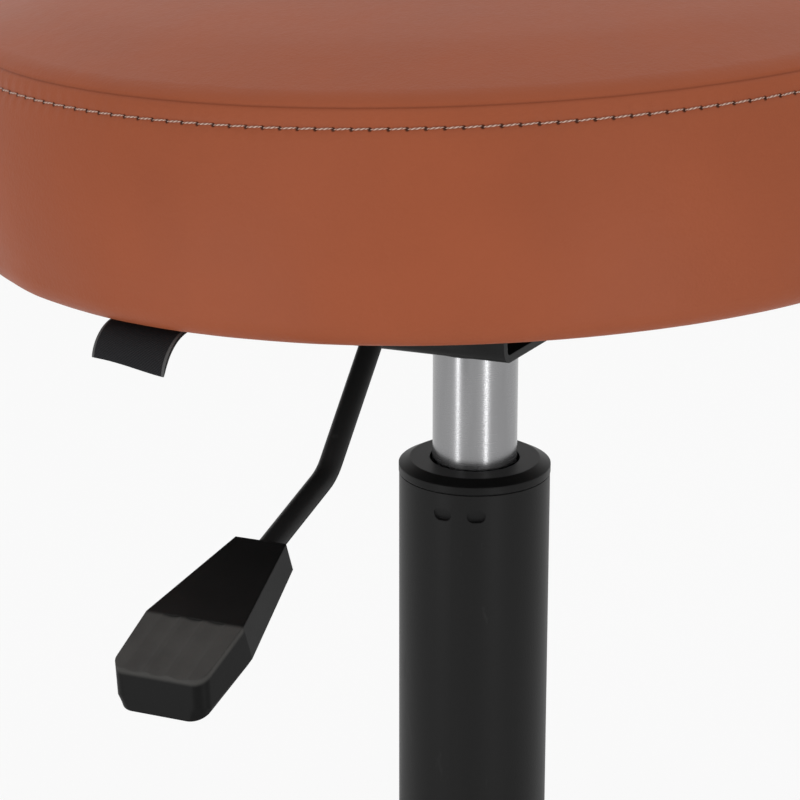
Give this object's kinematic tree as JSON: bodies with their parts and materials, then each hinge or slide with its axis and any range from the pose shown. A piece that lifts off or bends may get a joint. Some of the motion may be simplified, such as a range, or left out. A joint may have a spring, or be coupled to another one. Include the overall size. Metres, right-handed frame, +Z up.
{
  "type": "rolling stool",
  "caption": "Round padded seat on a gas lift with a release lever, carried by a five-leg base on twin-wheel casters.",
  "frame": {"origin": "on the floor, on the column's axis", "axes": "+Z up along the column; one leg along -Y; the picture is taken from the -Y side"},
  "size_m": [0.5399, 0.5144, 0.499],
  "materials": {
    "black_nylon": "fine moulded texture",
    "black_acetal": "satin moulded plastic",
    "wheel_nylon": "smooth hard tread",
    "pale_nylon": "plain moulded nylon",
    "black_rubber": "plain rubber",
    "black_paint": "satin black powder coat",
    "zinc_steel": "bright zinc plate",
    "bearing_steel": "ground steel",
    "satin_steel": "ground and polished steel",
    "valve_brass": "turned brass",
    "tan_leatherette": "fine-grained tan leatherette",
    "cream_foam": "moulded foam",
    "birch_ply": "plain plywood",
    "black_fabric": "plain black woven fabric"
  },
  "bodies": {
    "base": {"star_base": "black_nylon", "hub_ring": "zinc_steel", "outer_tube": "black_paint", "guide_bush": "black_acetal", "foot_plate": "zinc_steel", "lower_race": "bearing_steel", "ball_cage": "pale_nylon", "thrust_balls": "bearing_steel", "caster_stems": "zinc_steel"},
    "rod": {"piston_rod": "bearing_steel", "rod_clip": "zinc_steel", "upper_race": "bearing_steel", "rubber_buffer": "black_rubber", "piston": "pale_nylon", "piston_ring": "black_rubber"},
    "seat": {"gas_cylinder": "satin_steel", "rod_guide": "black_acetal", "rod_seal": "black_rubber", "valve_body": "valve_brass", "hub_tube": "black_paint", "carrier_channel": "black_paint", "carrier_plate": "black_paint", "pivot_bracket": "black_paint", "seat_bolts": "zinc_steel", "spring_washers": "zinc_steel", "tee_nuts": "zinc_steel", "seat_board": "birch_ply", "seat_foam": "cream_foam", "seat_side_band": "tan_leatherette", "seat_top_panel": "tan_leatherette", "dust_cover": "black_fabric", "side_tab": "black_fabric"},
    "lever": {"lever_rod": "black_paint", "lever_handle": "black_acetal", "lever_trunnion": "zinc_steel"},
    "pin": {"release_pin": "bearing_steel"},
    "caster_1": {"caster_body_1": "black_nylon", "caster_axle_1": "zinc_steel"},
    "wheel_1a": {"wheel_1_a": "wheel_nylon"},
    "wheel_1b": {"wheel_1_b": "wheel_nylon"},
    "caster_2": {"caster_body_2": "black_nylon", "caster_axle_2": "zinc_steel"},
    "wheel_2a": {"wheel_2_a": "wheel_nylon"},
    "wheel_2b": {"wheel_2_b": "wheel_nylon"},
    "caster_3": {"caster_body_3": "black_nylon", "caster_axle_3": "zinc_steel"},
    "wheel_3a": {"wheel_3_a": "wheel_nylon"},
    "wheel_3b": {"wheel_3_b": "wheel_nylon"},
    "caster_4": {"caster_body_4": "black_nylon", "caster_axle_4": "zinc_steel"},
    "wheel_4a": {"wheel_4_a": "wheel_nylon"},
    "wheel_4b": {"wheel_4_b": "wheel_nylon"},
    "caster_5": {"caster_body_5": "black_nylon", "caster_axle_5": "zinc_steel"},
    "wheel_5a": {"wheel_5_a": "wheel_nylon"},
    "wheel_5b": {"wheel_5_b": "wheel_nylon"}
  },
  "joints": [
    {"name": "seat_swivel", "type": "hinge", "parent": "base", "child": "rod", "pos_m": [0, 0, 0.058], "axis": [0, 0, 1], "continuous": true},
    {"name": "gas_lift", "type": "slide", "parent": "rod", "child": "seat", "axis": [0, 0, 1], "range_m": [0, 0.13]},
    {"name": "lever_lift", "type": "hinge", "parent": "seat", "child": "lever", "pos_m": [-0.01379, -0.02574, 0.4021], "axis": [-0.8734, 0.4841, -0.0523], "range_deg": [0, 4.5], "stiffness_Nm_per_rad": 2},
    {"name": "release_press", "type": "slide", "parent": "seat", "child": "pin", "axis": [0, 0, -1], "range_m": [0, 0.0025]},
    {"name": "caster_1_swivel", "type": "hinge", "parent": "base", "child": "caster_1", "pos_m": [0, -0.245, 0.056], "axis": [0, 0, 1], "continuous": true},
    {"name": "wheel_1a_spin", "type": "hinge", "parent": "caster_1", "child": "wheel_1a", "pos_m": [-0.0172, -0.25705, 0.025], "axis": [-0.5736, 0.8192, 0], "continuous": true},
    {"name": "wheel_1b_spin", "type": "hinge", "parent": "caster_1", "child": "wheel_1b", "pos_m": [-0.0172, -0.25705, 0.025], "axis": [-0.5736, 0.8192, 0], "continuous": true},
    {"name": "caster_2_swivel", "type": "hinge", "parent": "base", "child": "caster_2", "pos_m": [0.23301, -0.07571, 0.056], "axis": [0, 0, 1], "continuous": true},
    {"name": "wheel_2a_spin", "type": "hinge", "parent": "caster_2", "child": "wheel_2a", "pos_m": [0.21581, -0.08775, 0.025], "axis": [-0.5736, 0.8192, 0], "continuous": true},
    {"name": "wheel_2b_spin", "type": "hinge", "parent": "caster_2", "child": "wheel_2b", "pos_m": [0.21581, -0.08775, 0.025], "axis": [-0.5736, 0.8192, 0], "continuous": true},
    {"name": "caster_3_swivel", "type": "hinge", "parent": "base", "child": "caster_3", "pos_m": [0.14401, 0.19821, 0.056], "axis": [0, 0, 1], "continuous": true},
    {"name": "wheel_3a_spin", "type": "hinge", "parent": "caster_3", "child": "wheel_3a", "pos_m": [0.12681, 0.18616, 0.025], "axis": [-0.5736, 0.8192, 0], "continuous": true},
    {"name": "wheel_3b_spin", "type": "hinge", "parent": "caster_3", "child": "wheel_3b", "pos_m": [0.12681, 0.18616, 0.025], "axis": [-0.5736, 0.8192, 0], "continuous": true},
    {"name": "caster_4_swivel", "type": "hinge", "parent": "base", "child": "caster_4", "pos_m": [-0.14401, 0.19821, 0.056], "axis": [0, 0, 1], "continuous": true},
    {"name": "wheel_4a_spin", "type": "hinge", "parent": "caster_4", "child": "wheel_4a", "pos_m": [-0.16121, 0.18616, 0.025], "axis": [-0.5736, 0.8192, 0], "continuous": true},
    {"name": "wheel_4b_spin", "type": "hinge", "parent": "caster_4", "child": "wheel_4b", "pos_m": [-0.16121, 0.18616, 0.025], "axis": [-0.5736, 0.8192, 0], "continuous": true},
    {"name": "caster_5_swivel", "type": "hinge", "parent": "base", "child": "caster_5", "pos_m": [-0.23301, -0.07571, 0.056], "axis": [0, 0, 1], "continuous": true},
    {"name": "wheel_5a_spin", "type": "hinge", "parent": "caster_5", "child": "wheel_5a", "pos_m": [-0.25021, -0.08775, 0.025], "axis": [-0.5736, 0.8192, 0], "continuous": true},
    {"name": "wheel_5b_spin", "type": "hinge", "parent": "caster_5", "child": "wheel_5b", "pos_m": [-0.25021, -0.08775, 0.025], "axis": [-0.5736, 0.8192, 0], "continuous": true}
  ],
  "couplings": [
    {"joint": "release_press", "follows": "lever_lift", "m_per_rad": 0.0292}
  ]
}
